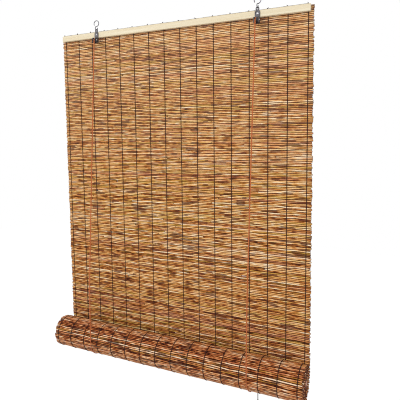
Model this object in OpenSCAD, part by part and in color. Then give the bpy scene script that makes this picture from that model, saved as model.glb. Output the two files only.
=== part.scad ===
// Reed roll-up blind hung on two S-hooks, part rolled up from below.
// X runs along the reeds, +Y is the back, +Z is up.
// The origin lies midway between the points where the two hooks bear.

/* [Reed mat] */
// Length of the reeds, which is the width of the mat
mat_w = 900; // [700:10:1100]
// Drop from the battens' lower edge to the axis of the roll
drop = 1070; // [800:10:1300]
// Spacing of neighbouring reeds
reed_pitch = 5.2; // [4.6:0.1:6]
// How much thicker than the spacing the thinnest reed is
reed_bite = 0.2; // [0.1:0.05:0.4]
// Spread between the thinnest and the thickest reed
reed_spread = 0.4; // [0.1:0.1:0.6]
// Number of open gaps scattered between the reeds
gap_count = 116; // [20:1:116]
// Height of an open gap
gap_h = 1.4; // [0.8:0.1:2]
// Length left closed between a gap and the warp threads beside it
gap_inset = 5; // [3:0.5:12]

/* [Warp threads] */
// Number of warp threads across the mat
warp_count = 16; // [12:2:18]
// Reed length outside the outer warp threads
warp_margin = 15; // [8:1:40]
// Width of a warp thread
warp_w = 2.6; // [1:0.1:3]
// Thickness of a warp thread
warp_t = 0.8; // [0.4:0.1:1.2]
// Diameter of the knot that ends a warp thread on the headrail
tie_d = 4; // [3:0.5:6]
// Diameter of the thread that binds the knots along the headrail
binding_d = 1; // [0.6:0.1:1.6]

/* [Roll] */
// Turns of mat in the roll
roll_turns = 6.8; // [3:0.1:7]
// Free space between two turns
turn_gap = 0.4; // [0.3:0.1:1.5]
// Diameter of the pole that the mat is rolled on
pole_d = 18; // [14:1:30]
// How far the roll's axis lies in front of the hooks
roll_forward = 4; // [0:1:15]

/* [Headrail] */
// Height of both battens
batten_h = 20; // [18:1:36]
// Thickness of the front batten
front_batten_t = 10; // [8:1:16]
// Thickness of the rear batten
rear_batten_t = 8; // [7:1:14]
// How far the front batten stops short of the reed ends
front_inset = 8; // [2:1:20]
// How far the rear batten stops short of the reed ends
rear_inset = 2; // [0:1:20]
// Rounding of the battens' long edges
batten_edge = 1.5; // [0.5:0.1:3]

/* [Hangers] */
// Warp spaces from the middle of the blind to a hanger
hanger_bay = 5; // [3:1:5]
// Wire diameter of the S-hooks
hook_wire_d = 2.5; // [2:0.1:3.5]
// Inside diameter of the hooks' upper loop
upper_loop_d = 17.5; // [14:0.5:24]
// Inside diameter of the hooks' lower loop
lower_loop_d = 10; // [9:0.5:14]
// Opening angle of each loop
loop_gap_deg = 65; // [50:1:90]
// Turn of the upper loop about the upright, against the lower one
hook_twist = 90; // [0:5:90]
// Sheet thickness of the hanger plates
plate_t = 2; // [1:0.1:2.4]
// Width of the plates where they lie on the front batten
plate_w = 15.5; // [12:0.5:16]
// Width of the tab that holds the eye
tab_w = 11; // [10:0.5:14]
// Diameter of the eye
eye_d = 5.2; // [4.5:0.1:6]
// Height of the eye above the battens
eye_rise = 4.6; // [4.4:0.1:10]
// Length of the fork below the battens
fork_h = 19; // [18:0.5:24]
// Shank diameter of the hanger screws
screw_d = 3.5; // [3:0.1:4.5]
// Head diameter of the hanger screws
screw_head_d = 7; // [6:0.5:9]
// How far the hanger screws reach into the rear batten
screw_bite = 1.2; // [0.5:0.1:1.4]

/* [Pulleys] */
// Radius of the pulley at the bottom of its groove
groove_r = 5; // [3.5:0.1:5.5]
// Height of the rim above the groove
rim_h = 3; // [2:0.1:3.4]
// Width of the pulley
wheel_w = 12; // [11:0.5:14]
// Width of the groove between the rims
groove_w = 9; // [8:0.5:9.5]
// Diameter of the axle pins
axle_d = 3; // [2:0.1:4]
// Head diameter of the axle pins
axle_head_d = 5; // [4.5:0.5:7]

/* [Cords] */
// Diameter of the lift cords
cord_d = 2.8; // [2:0.1:3]
// Half the distance between the two cords at a hanger
cord_side = 1.8; // [1.8:0.1:2]
// Radius of the bends where a cord turns behind the headrail
cord_bend = 6; // [5.6:0.1:8]
// Diameter of the knots that hold the lift cords on the rear batten
knot_d = 7; // [6:0.5:9]
// Wire diameter of the screw eye
eyelet_wire_d = 1.8; // [1.4:0.1:2.4]
// Length of the screw eye's shank
eyelet_shank = 12; // [8:1:16]
// Diameter of the pull cord
pull_d = 3; // [2:0.1:3.8]
// Diameter of the pull knob
knob_d = 18; // [12:1:26]
// Height of the pull knob
knob_h = 32; // [24:1:45]

/* [Hidden] */
$fn = 48;

// Clearances
run_gap = 0.3;
seat_gap = 0.2;
fit_gap = 0.05;
wheel_side_gap = 0.4;
wheel_back_gap = 0.6;
through = 2;

// Colours
pine = [0.93, 0.87, 0.74];
brown_wood = [0.55, 0.34, 0.22];
reed = [0.66, 0.45, 0.27];
thread_brown = [0.24, 0.15, 0.1];
gunmetal = [0.24, 0.24, 0.26];
bright_steel = [0.7, 0.7, 0.72];
cord_brown = [0.62, 0.34, 0.2];
cord_dark = [0.25, 0.21, 0.22];

// Reeds
reed_d_min = reed_pitch + reed_bite;
reed_d_max = reed_d_min + reed_spread;
reed_r = reed_d_max / 2;
mat_half = reed_r + fit_gap + warp_t;
warp_pitch = (mat_w - 2 * warp_margin) / (warp_count - 1);
warp_x = [for (i = [0 : warp_count - 1]) warp_margin - mat_w / 2 + i * warp_pitch];
hanger_x = hanger_bay * warp_pitch;
reed_seed = 7;

// Heights of the hooks and the headrail
wire_r = hook_wire_d / 2;
upper_r = upper_loop_d / 2 + wire_r;
lower_r = lower_loop_d / 2 + wire_r;
upper_z = -upper_loop_d / 2;
cross_z = upper_z - upper_r;
lower_z = cross_z - lower_r;
seat_z = lower_z - lower_r;
eye_z = seat_z + wire_r + seat_gap - eye_d / 2;
batten_top = eye_z - eye_rise;
batten_bottom = batten_top - batten_h;
fork_bottom = batten_bottom - fork_h;
plate_drop = 3;
screw_z = batten_top - batten_h / 2;

// Depths of the headrail
plate_front = -plate_t / 2;
batten_front = plate_t / 2;
mat_y = batten_front + front_batten_t + mat_half;
rear_front = mat_y + mat_half;
rear_back = rear_front + rear_batten_t;
screw_len = rear_front + screw_bite - plate_front;
tie_y = batten_front + tie_d / 2 + batten_edge;

// Roll and the straight stretch of mat above it
turn_pitch = reed_d_max + turn_gap;
roll_r = pole_d / 2 + run_gap + reed_r + turn_pitch * roll_turns;
axis_y = -roll_forward;
axis_z = batten_bottom - drop;
function turn_to(p, c) = atan2(p[1] - c[1], p[0] - c[0]);
function rear_tangent(p, c, r) = turn_to(p, c) - acos(r / norm(p - c));
mat_start = [mat_y, batten_bottom];
roll_axis = [axis_y, axis_z];
lean = rear_tangent(mat_start, roll_axis, roll_r);
mat_end = roll_axis + roll_r * [cos(lean), sin(lean)];
straight = norm(mat_end - mat_start);
function mat_point(s) = s < batten_h
    ? [mat_y, batten_top - s]
    : mat_start + (s - batten_h) * [sin(lean), -cos(lean)];

// Reeds of the straight stretch, counted from the top of the headrail
mat_reeds = floor((batten_h + straight - reed_d_max) / reed_pitch) + 1;
reed_s = [for (i = [0 : mat_reeds - 1]) reed_r + i * reed_pitch];
mat_d = rands(reed_d_min, reed_d_max, mat_reeds, reed_seed);

// Reeds of the roll, along a spiral that starts where the straight stretch ends
first_turn_s = reed_s[mat_reeds - 1] + reed_d_max + run_gap - batten_h - straight;
spiral_len = 2 * PI * roll_turns * roll_r - PI * turn_pitch * roll_turns * roll_turns;
roll_reeds = floor((spiral_len - first_turn_s) / reed_pitch) + 1;
roll_d = rands(reed_d_min, reed_d_max, roll_reeds, reed_seed + 1);
function spiral_turn(s) = 360 / turn_pitch * (roll_r - sqrt(roll_r * roll_r - turn_pitch * s / PI));
function spiral_r(turn) = roll_r - turn_pitch * turn / 360;
function spiral_point(turn, lift) =
    roll_axis + (spiral_r(turn) + lift) * [cos(lean - turn), sin(lean - turn)];

// Stretch of the warp threads that would be pinched between the mat and the roll
warp_stop = 18;
roll_warp_first = spiral_turn(max(first_turn_s, 0)) + 1;
roll_warp_last = 335;
roll_warp_steps = 60;

// Pulleys and the lift cords
cord_r = cord_d / 2;
wrap_r = groove_r + run_gap + cord_r;
rim_r = groove_r + rim_h;
cord_z = batten_bottom - cord_r - eyelet_wire_d - seat_gap - fit_gap;
wheel_y = plate_front - wheel_back_gap - rim_r;
wheel_z = cord_z - wrap_r;
wheel = [wheel_y, wheel_z];
fork_in = wheel_w + 2 * wheel_side_gap;
fork_out = fork_in + 2 * plate_t;
fork_front = wheel_y - axle_head_d / 2 - through;
sling_r = roll_r + mat_half + run_gap + cord_r;
front_turn = turn_to(wheel, roll_axis) + acos((sling_r - wrap_r) / norm(wheel - roll_axis));
rear_top = [rear_front + rear_batten_t / 2, batten_top];
rear_turn = rear_tangent(rear_top, roll_axis, sling_r);
sling_trim = run_gap / sling_r * 180 / PI;
bend_y = rear_front + run_gap;
run_y = bend_y + cord_bend;
eyelet_r = cord_r + seat_gap + eyelet_wire_d / 2;
strand_end = cord_z - cord_bend - 10;

// Pull cord, hung from the knot under the screw eye
pull_route = [
    [286, 25, -88], [286, 27.5, -166], [286, 30, -244], [286, 32.5, -322], [286, 35, -400],
    [286, 37.5, -478], [286, 40, -556], [286, 42.5, -634], [286, 45, -712], [286, 47.5, -790],
    [286, 50, -868], [286, 52.5, -946], [286, 55, -1024], [286, 57.5, -1102], [286, 60, -1180],
    [286, 62.5, -1258]
];
pull_sides = 8;
pull_top = pull_route[0];
pull_end = pull_route[len(pull_route) - 1];
pull_knot_d = 9;
knob_hole = 6;
left_strand_x = 284;

module along_x(length) {
    rotate([90, 0, 90])
        linear_extrude(length, center = true)
            children();
}

module through_y(x, y, z, r, length) {
    translate([x, y, z])
        rotate([-90, 0, 0])
            cylinder(h = length, r = r);
}

module rod(from, to, d) {
    way = to - from;
    length = norm(way);
    translate(from)
        rotate([0, acos(way[2] / length), atan2(way[1], way[0])])
            cylinder(h = length, d = d);
}

// Round wire bent in the plane across X, from one angle to the next
module arc_across(x, centre, r, from, to, d) {
    translate([x, centre[0], centre[1]])
        rotate([90, 0, 90])
            rotate([0, 0, from])
                rotate_extrude(angle = to - from)
                    translate([r, 0])
                        circle(d = d);
}

module bar_section(t, h, edge) {
    square([t - 2 * edge, h], center = true);
    square([t, h - 2 * edge], center = true);
    for (y = [-1, 1])
        for (z = [-1, 1])
            translate([y * (t / 2 - edge), z * (h / 2 - edge)])
                circle(r = edge);
}

module front_batten() {
    color(pine)
        difference() {
            translate([0, batten_front + front_batten_t / 2, screw_z])
                along_x(mat_w - 2 * front_inset)
                    bar_section(front_batten_t, batten_h, batten_edge);
            for (side = [-1, 1])
                through_y(side * hanger_x, batten_front - through, screw_z, screw_d / 2 + fit_gap,
                    front_batten_t + 2 * through);
        }
}

module rear_batten() {
    color(brown_wood)
        difference() {
            translate([0, rear_front + rear_batten_t / 2, screw_z])
                along_x(mat_w - 2 * rear_inset)
                    bar_section(rear_batten_t, batten_h, batten_edge);
            for (side = [-1, 1]) {
                through_y(side * hanger_x, rear_front - through, screw_z, screw_d / 2 + fit_gap,
                    screw_bite + through + seat_gap);
                rear_run(side, cord_d + 2 * seat_gap, through);
            }
            eyelet_shaft(eyelet_wire_d + 2 * fit_gap, eyelet_shank + seat_gap);
        }
}

// Ridged wall of reeds with open gaps between some of them
module reed_mat() {
    color(reed)
        difference() {
            along_x(mat_w)
                for (i = [0 : mat_reeds - 1])
                    translate(mat_point(reed_s[i]))
                        circle(d = mat_d[i]);
            reed_gaps();
            for (side = [-1, 1]) {
                through_y(side * hanger_x, mat_y - mat_half, screw_z, screw_d / 2 + seat_gap, 2 * mat_half);
                translate([side * (hanger_x - cord_side), mat_y, cord_z])
                    cube([cord_d + 2 * run_gap, 2 * mat_half, cord_d + 2 * run_gap], center = true);
            }
        }
}

module reed_gaps() {
    first = ceil((batten_h + fork_h) / reed_pitch);
    step = (mat_reeds - first - 3) / gap_count;
    bays = warp_count - 1;
    for (k = [0 : gap_count - 1]) {
        reed_index = first + floor(k * step);
        bay = (7 * k) % bays;
        seat = mat_point(reed_s[reed_index] + reed_pitch / 2);
        translate([warp_x[bay] + warp_pitch / 2, seat[0], seat[1]])
            rotate([lean, 0, 0])
                cube([warp_pitch - 2 * gap_inset, 2 * mat_half, gap_h], center = true);
    }
}

// Thread laid along one face of the straight stretch: side -1 is the front, 1 the back
module warp_run(side, stop) {
    inner = side * (reed_r + fit_gap);
    outer = side * mat_half;
    out = [cos(lean), sin(lean)];
    end = mat_point(batten_h + straight - stop);
    for (x = warp_x)
        translate([x, 0, 0])
            along_x(warp_w)
                polygon([
                    [mat_y + inner, batten_top], mat_start + inner * [1, 0], end + inner * out,
                    end + outer * out, mat_start + outer * [1, 0], [mat_y + outer, batten_top]
                ]);
}

module front_warp_threads() {
    color(thread_brown) warp_run(-1, warp_stop);
}

module rear_warp_threads() {
    color(thread_brown) warp_run(1, reed_pitch);
}

// Each thread's end, laid over the front batten and knotted at its front edge
module warp_ties() {
    color(thread_brown)
        for (x = warp_x)
            translate([x, 0, batten_top]) {
                translate([-warp_w / 2, tie_y, 0])
                    cube([warp_w, mat_y - reed_r - fit_gap - tie_y, warp_t]);
                translate([0, tie_y, 0])
                    cylinder(h = 0.6 * tie_d, d1 = tie_d, d2 = 0.6 * tie_d);
            }
}

module binding_thread() {
    color(thread_brown)
        for (i = [0 : warp_count - 2])
            rod([warp_x[i] + tie_d / 2, tie_y, batten_top + binding_d / 2],
                [warp_x[i + 1] - tie_d / 2, tie_y, batten_top + binding_d / 2], binding_d);
}

// Plate with an eye above the headrail and a fork for the pulley below it
module hanger_plate(side) {
    color(gunmetal)
        translate([side * hanger_x, 0, 0])
            difference() {
                union() {
                    translate([0, plate_t / 2, 0])
                        rotate([90, 0, 0])
                            linear_extrude(plate_t)
                                plate_outline();
                    for (cheek = [-1, 1])
                        translate([cheek * (fork_in + plate_t) / 2, 0, 0])
                            along_x(plate_t)
                                cheek_outline();
                }
                translate([-fork_out, wheel_y, wheel_z])
                    rotate([0, 90, 0])
                        cylinder(h = 2 * fork_out, r = axle_d / 2 + fit_gap);
            }
}

module plate_outline() {
    difference() {
        union() {
            translate([0, eye_z])
                circle(d = tab_w);
            translate([-tab_w / 2, batten_bottom])
                square([tab_w, eye_z - batten_bottom]);
            translate([-plate_w / 2, batten_bottom])
                square([plate_w, batten_h - plate_drop]);
            translate([-fork_out / 2, fork_bottom])
                square([fork_out, fork_h]);
        }
        translate([0, eye_z])
            circle(d = eye_d);
        translate([0, screw_z])
            circle(r = screw_d / 2 + fit_gap);
        translate([-fork_in / 2, cord_z - cord_r - run_gap])
            square([fork_in, cord_d + 2 * run_gap]);
    }
}

module cheek_outline() {
    nose = 4;
    translate([fork_front + nose, fork_bottom])
        square([plate_t / 2 - fork_front - nose, fork_h - 1]);
    translate([fork_front, fork_bottom + nose])
        square([nose, fork_h - 1 - 2 * nose]);
    for (z = [fork_bottom + nose, batten_bottom - 1 - nose])
        translate([fork_front + nose, z])
            circle(r = nose);
}

module left_hanger_plate() { hanger_plate(-1); }
module right_hanger_plate() { hanger_plate(1); }

// Dome-headed cross-slotted screws through the plates and both battens
module hanger_screws() {
    dome = 0.7 * screw_head_d;
    head_h = dome - sqrt(dome * dome - screw_head_d * screw_head_d / 4);
    slot_w = screw_head_d / 7;
    color(bright_steel)
        for (side = [-1, 1])
            translate([side * hanger_x, plate_front, screw_z])
                difference() {
                    union() {
                        intersection() {
                            translate([0, dome - head_h, 0])
                                sphere(r = dome);
                            through_y(0, -head_h, 0, screw_head_d / 2, head_h);
                        }
                        through_y(0, 0, 0, screw_d / 2, screw_len);
                    }
                    for (turn = [0, 90])
                        translate([0, -head_h, 0])
                            rotate([0, turn, 0])
                                cube([0.6 * screw_head_d, head_h, slot_w], center = true);
                }
}

module axle_pin(side) {
    head_t = 1.2;
    color(bright_steel)
        translate([side * hanger_x, wheel_y, wheel_z])
            rotate([0, 90, 0]) {
                cylinder(h = fork_out, d = axle_d, center = true);
                for (end = [0, 180])
                    rotate([end, 0, 0])
                        translate([0, 0, fork_out / 2])
                            cylinder(h = head_t, d1 = axle_head_d, d2 = axle_head_d - head_t);
            }
}

module left_axle_pin() { axle_pin(-1); }
module right_axle_pin() { axle_pin(1); }

// Grooved wheel that turns on the axle pin
module pulley(side) {
    slope = 1;
    color(gunmetal)
        translate([side * hanger_x, wheel_y, wheel_z])
            rotate([0, 90, 0])
                rotate_extrude()
                    polygon([
                        [axle_d / 2 + fit_gap, -wheel_w / 2], [rim_r, -wheel_w / 2], [rim_r, -groove_w / 2],
                        [groove_r, slope - groove_w / 2], [groove_r, groove_w / 2 - slope],
                        [rim_r, groove_w / 2], [rim_r, wheel_w / 2], [axle_d / 2 + fit_gap, wheel_w / 2]
                    ]);
}

module left_pulley() { pulley(-1); }
module right_pulley() { pulley(1); }

// Wire S with its upper loop turned against the lower one, which opens at the back
module s_hook(side) {
    x = side * hanger_x;
    lower_end = 90 + 360 - loop_gap_deg;
    upper_end = 270 + 360 - loop_gap_deg;
    color(bright_steel) {
        arc_across(x, [0, lower_z], lower_r, 90, lower_end, hook_wire_d);
        translate([x, lower_r * cos(lower_end), lower_z + lower_r * sin(lower_end)])
            sphere(d = hook_wire_d);
        translate([x, 0, cross_z])
            sphere(d = hook_wire_d);
        translate([x, 0, 0])
            rotate([0, 0, -hook_twist]) {
                arc_across(0, [0, upper_z], upper_r, 270, upper_end, hook_wire_d);
                translate([0, upper_r * cos(upper_end), upper_z + upper_r * sin(upper_end)])
                    sphere(d = hook_wire_d);
            }
    }
}

module left_s_hook() { s_hook(-1); }
module right_s_hook() { s_hook(1); }

// Straight stretch behind the mat, from the knot on the rear batten to the sling
module rear_run(side, d, extra) {
    x = side * (hanger_x + cord_side);
    foot = roll_axis + sling_r * [cos(rear_turn), sin(rear_turn)];
    way = [0, foot[0] - rear_top[0], foot[1] - rear_top[1]];
    head = [x, rear_top[0], rear_top[1]];
    rod(head - extra * way / norm(way), head + way, d);
}

module left_rear_lift_cord() { color(cord_brown) rear_run(-1, cord_d, 0); }
module right_rear_lift_cord() { color(cord_brown) rear_run(1, cord_d, 0); }

module rear_cord_knots() {
    knot_r = knot_d / 2;
    color(cord_brown)
        for (side = [-1, 1])
            translate([side * (hanger_x + cord_side), rear_top[0], batten_top])
                rotate_extrude()
                    polygon([
                        [0, 0], [0.7 * knot_r, 0], [knot_r, 0.4 * knot_r], [knot_r, 0.9 * knot_r],
                        [0.6 * knot_r, 1.4 * knot_r], [0, 1.4 * knot_r]
                    ]);
}

// Straight stretch in front of the mat, from the sling up to the pulley
module front_run(side) {
    out = [cos(front_turn), sin(front_turn)];
    foot = roll_axis + sling_r * out;
    head = wheel + wrap_r * out;
    color(cord_brown)
        rod([side * (hanger_x + cord_side), foot[0], foot[1]],
            [side * (hanger_x - cord_side), head[0], head[1]], cord_d);
}

module left_front_lift_cord() { front_run(-1); }
module right_front_lift_cord() { front_run(1); }

// Part of the lift cord that passes under the roll and carries it
module roll_sling(side) {
    color(cord_brown)
        arc_across(side * (hanger_x + cord_side), roll_axis, sling_r, front_turn + sling_trim,
            360 + rear_turn - sling_trim, cord_d);
}

module left_roll_sling() { roll_sling(-1); }
module right_roll_sling() { roll_sling(1); }

// Lift cord over the pulley and back through the plate and the mat
module over_pulley(side) {
    x = side * (hanger_x - cord_side);
    arc_across(x, wheel, wrap_r, 90, front_turn, cord_d);
    through_y(x, wheel_y, cord_z, cord_r, bend_y - wheel_y);
}

module quarter_bend() {
    rotate_extrude(angle = 90)
        translate([cord_bend, 0])
            circle(d = cord_d);
}

// The left cord crosses behind the headrail to the screw eye, then turns down
module left_head_cord() {
    start_x = -hanger_x + cord_side + cord_bend;
    turn_x = left_strand_x - cord_bend;
    color(cord_brown) {
        over_pulley(-1);
        translate([start_x, bend_y, cord_z])
            rotate([0, 0, 90])
                quarter_bend();
        rod([start_x, run_y, cord_z], [turn_x, run_y, cord_z], cord_d);
        translate([turn_x, run_y, cord_z - cord_bend])
            rotate([90, 0, 0])
                quarter_bend();
    }
}

// The right cord turns down over the reed below its hole
module right_head_cord() {
    color(cord_brown) {
        over_pulley(1);
        translate([hanger_x - cord_side, bend_y, cord_z - cord_bend])
            rotate([90, 0, 90])
                quarter_bend();
    }
}

module eyelet_shaft(d, length) {
    translate([left_strand_x - cord_bend - 6, run_y, cord_z + eyelet_r])
        cylinder(h = batten_bottom - cord_z - eyelet_r + length, d = d);
}

// Screw eye under the rear batten that guides the crossing cord
module screw_eye() {
    color(bright_steel) {
        eyelet_shaft(eyelet_wire_d, eyelet_shank);
        translate([left_strand_x - cord_bend - 6, run_y, cord_z])
            rotate([0, 90, 0])
                rotate_extrude()
                    translate([eyelet_r, 0])
                        circle(d = eyelet_wire_d);
    }
}

module pull_strand(x) {
    color(cord_brown)
        rod([x, run_y, cord_z - cord_bend], [x, run_y, strand_end], cord_d);
}

module left_pull_strand() { pull_strand(left_strand_x); }
module right_pull_strand() { pull_strand(hanger_x - cord_side); }

// Spiral of reeds: every turn is part of one solid
module reed_roll() {
    color(reed)
        along_x(mat_w)
            for (i = [0 : roll_reeds - 1])
                translate(spiral_point(spiral_turn(first_turn_s + i * reed_pitch), 0))
                    circle(d = roll_d[i]);
}

module roll_warp_threads() {
    step = (roll_warp_last - roll_warp_first) / roll_warp_steps;
    turns = [for (i = [0 : roll_warp_steps]) roll_warp_first + i * step];
    sag = roll_r * (1 - cos(step / 2));
    inner = [for (t = turns) spiral_point(t, reed_r + fit_gap + 2 * sag)];
    outer = [for (i = [roll_warp_steps : -1 : 0]) spiral_point(turns[i], mat_half)];
    color(thread_brown)
        for (x = warp_x)
            translate([x, 0, 0])
                along_x(warp_w)
                    polygon(concat(inner, outer));
}

module bottom_pole() {
    color(brown_wood)
        translate([0, axis_y, axis_z])
            rotate([0, 90, 0])
                cylinder(h = mat_w, d = pole_d, center = true);
}

module pull_knot() {
    knot_r = pull_knot_d / 2;
    knot_h = strand_end - run_gap - pull_top[2];
    color(cord_dark)
        translate(pull_top)
            rotate_extrude()
                polygon([
                    [0, 0], [0.6 * knot_r, 0], [knot_r, 0.3 * knot_h], [knot_r, 0.8 * knot_h],
                    [0.9 * knot_r, knot_h], [0, knot_h]
                ]);
}

// Tube of rings set square across the cord at each route point
module pull_cord() {
    rings = len(pull_route);
    points = [
        for (p = pull_route)
            for (k = [0 : pull_sides - 1])
                p + pull_d / 2 * [cos(k * 360 / pull_sides), sin(k * 360 / pull_sides), 0]
    ];
    sides = [
        for (i = [0 : rings - 2])
            for (k = [0 : pull_sides - 1])
                let (n = (k + 1) % pull_sides, a = i * pull_sides, b = a + pull_sides)
                    [a + k, a + n, b + n, b + k]
    ];
    top = [for (k = [pull_sides - 1 : -1 : 0]) k];
    bottom = [for (k = [0 : pull_sides - 1]) (rings - 1) * pull_sides + k];
    color(cord_dark)
        polyhedron(points, concat(sides, [top, bottom]));
}

// Turned wooden knob on the end of the pull cord
module pull_knob() {
    knob_r = knob_d / 2;
    neck_r = pull_d / 2 + 2.5;
    color(brown_wood)
        translate([pull_end[0], pull_end[1], pull_end[2] + knob_hole - knob_h])
            rotate_extrude()
                difference() {
                    union() {
                        intersection() {
                            translate([0, knob_r])
                                circle(r = knob_r);
                            square([knob_r, 2 * knob_r]);
                        }
                        polygon([[0, knob_r], [knob_r, knob_r], [neck_r, knob_h], [0, knob_h]]);
                    }
                    translate([0, knob_h - knob_hole])
                        square([pull_d / 2 + fit_gap, knob_hole + through]);
                }
}

front_batten();
rear_batten();
reed_mat();
front_warp_threads();
rear_warp_threads();
warp_ties();
binding_thread();
left_hanger_plate();
right_hanger_plate();
hanger_screws();
left_axle_pin();
right_axle_pin();
left_pulley();
right_pulley();
left_s_hook();
right_s_hook();
left_rear_lift_cord();
right_rear_lift_cord();
rear_cord_knots();
left_front_lift_cord();
right_front_lift_cord();
left_roll_sling();
right_roll_sling();
left_head_cord();
right_head_cord();
screw_eye();
left_pull_strand();
right_pull_strand();
reed_roll();
roll_warp_threads();
bottom_pole();
pull_knot();
pull_cord();
pull_knob();
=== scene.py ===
import math
import random
import bmesh
import bpy
from mathutils import Matrix, Vector
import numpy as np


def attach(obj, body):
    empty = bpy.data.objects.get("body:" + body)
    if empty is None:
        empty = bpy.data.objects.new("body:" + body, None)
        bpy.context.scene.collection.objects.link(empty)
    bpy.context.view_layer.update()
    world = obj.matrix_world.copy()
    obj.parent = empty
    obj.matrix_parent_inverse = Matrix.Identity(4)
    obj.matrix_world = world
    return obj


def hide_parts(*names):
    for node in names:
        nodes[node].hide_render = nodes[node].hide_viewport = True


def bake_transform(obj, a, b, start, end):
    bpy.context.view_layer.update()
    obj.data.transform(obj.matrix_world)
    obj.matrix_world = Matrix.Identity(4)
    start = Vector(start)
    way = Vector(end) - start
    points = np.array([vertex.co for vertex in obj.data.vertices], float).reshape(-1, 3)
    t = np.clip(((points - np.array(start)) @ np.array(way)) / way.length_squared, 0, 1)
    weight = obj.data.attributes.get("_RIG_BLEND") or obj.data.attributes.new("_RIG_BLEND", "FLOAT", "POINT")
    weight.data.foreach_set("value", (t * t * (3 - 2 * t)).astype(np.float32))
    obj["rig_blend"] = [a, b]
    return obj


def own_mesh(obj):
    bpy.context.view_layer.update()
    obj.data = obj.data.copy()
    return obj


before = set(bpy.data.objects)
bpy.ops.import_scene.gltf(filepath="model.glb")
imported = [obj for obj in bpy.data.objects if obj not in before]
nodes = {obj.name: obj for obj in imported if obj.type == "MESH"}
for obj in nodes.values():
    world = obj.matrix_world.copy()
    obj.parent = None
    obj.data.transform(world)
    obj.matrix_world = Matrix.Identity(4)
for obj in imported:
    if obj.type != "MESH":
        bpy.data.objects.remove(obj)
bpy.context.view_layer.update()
scene = bpy.context.scene
scene.view_settings.view_transform = "Standard"
scene.cycles.filter_width = 1.1  # narrower than the default, so that thin stalks stay crisp

# sizes shared by several pieces, in metres, as in the part's source
blind = {
    "width": 0.9, "matY": 0.01475, "battenTop": -0.037, "battenBottom": -0.057,
    "lean": math.radians(1.90773), "straight": 1.06878, "reedPitch": 0.0052, "firstReed": 0.0029,
    "matRows": 209, "headRows": 4, "rollRows": 274, "rollStart": 0.00181726,
    "rollAxis": (-0.004, -1.127), "rollRadius": 0.05436, "turnPitch": 0.0062,
    "warpCount": 16, "warpMargin": 0.015, "lift": 0.9448,
}
liftAxis = (0, -math.sin(blind["lean"]), math.cos(blind["lean"]))
warpStep = (blind["width"] - 2 * blind["warpMargin"]) / (blind["warpCount"] - 1)
warpPlaces = [blind["warpMargin"] - blind["width"] / 2 + i * warpStep for i in range(blind["warpCount"])]


# camera at the photograph's place
cameraSetup = {
    "place": (0.7022, -1.3312, -0.4313), "yaw": 26.72, "pitch": 3.67,
    "focalPixels": 459.8, "frame": 400, "centre": (-21.2, -25.5), "sensor": 36, "clip": (0.05, 50),
}


def placeCamera(setup):
    yaw, pitch = math.radians(setup["yaw"]), math.radians(setup["pitch"])
    ahead = Vector((-math.sin(yaw) * math.cos(pitch), math.cos(yaw) * math.cos(pitch), -math.sin(pitch)))
    right = Vector((math.cos(yaw), math.sin(yaw), 0))
    up = right.cross(ahead)
    lensData = bpy.data.cameras.new("photoCamera")
    lensData.sensor_width = setup["sensor"]
    lensData.lens = setup["focalPixels"] / setup["frame"] * setup["sensor"]
    lensData.shift_x = -setup["centre"][0] / setup["frame"]
    lensData.shift_y = setup["centre"][1] / setup["frame"]
    lensData.clip_start, lensData.clip_end = setup["clip"]
    eye = bpy.data.objects.new("photoCamera", lensData)
    scene.collection.objects.link(eye)
    turn = Matrix((right, up, -ahead)).transposed()
    eye.matrix_world = Matrix.Translation(setup["place"]) @ turn.to_4x4()
    scene.camera = eye


placeCamera(cameraSetup)
print("camera placed")


# small helpers for meshes

def newPiece(name, bm, *finishes):
    mesh = bpy.data.meshes.new(name)
    bm.normal_update()
    bm.to_mesh(mesh)
    bm.free()
    piece = bpy.data.objects.new(name, mesh)
    scene.collection.objects.link(piece)
    for finish in finishes:
        mesh.materials.append(finish)
    return piece


def fit(piece, body, slotName, *stoodFor):
    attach(piece, body)
    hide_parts(*stoodFor)
    return piece


def framesAlong(line, first=None):
    # one (across, up) pair for each point, carried along the line without twisting
    count = len(line)
    pairs, across = [], first
    for k in range(count):
        ahead = (line[min(k + 1, count - 1)] - line[max(k - 1, 0)]).normalized()
        if across is None:
            across = ahead.orthogonal()
        across = (across - ahead * across.dot(ahead)).normalized()
        pairs.append((across, ahead.cross(across)))
    return pairs


def layTube(bm, line, sides, section, first=None):
    # a straight tube from an operator, cut once for each point, then laid along the line
    count = len(line)
    tube = bmesh.ops.create_cone(bm, cap_ends=True, segments=sides, radius1=1, radius2=1, depth=1)
    verts = set(tube["verts"])
    if count > 2:
        longEdges = dict.fromkeys(  # each edge once, in the same order every run
            e for v in tube["verts"] for e in v.link_edges if abs(e.verts[0].co.z - e.verts[1].co.z) > 0.5)
        cut = bmesh.ops.subdivide_edges(bm, edges=list(longEdges), cuts=count - 2)["geom_inner"]
        verts = {v for g in cut if isinstance(g, bmesh.types.BMVert) for e in g.link_edges for v in e.verts}
    pairs = framesAlong(line, first)
    laid = []
    for v in verts:
        k = round((v.co.z + 0.5) * (count - 1))
        angle = math.atan2(v.co.y, v.co.x)
        across, up = pairs[k]
        a, b = section(k, angle)
        v.co = line[k] + across * a + up * b
        laid.append((v, k, angle))
    for face in {f for v in verts for f in v.link_faces}:
        face.smooth = len(face.verts) == 4
    return laid


def vertexLayer(layers, name):
    return layers.get(name) or layers.new(name)


def spaced(points, step):
    # the same polyline with points a step apart
    line, carry = [points[0].copy()], 0.0
    for a, b in zip(points, points[1:]):
        length = (b - a).length
        at = step - carry
        while at <= length:
            line.append(a.lerp(b, at / length))
            at += step
        carry = length - (at - step)
    if (line[-1] - points[-1]).length < 0.5 * step:
        line.pop()
    line.append(points[-1].copy())
    return line


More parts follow.
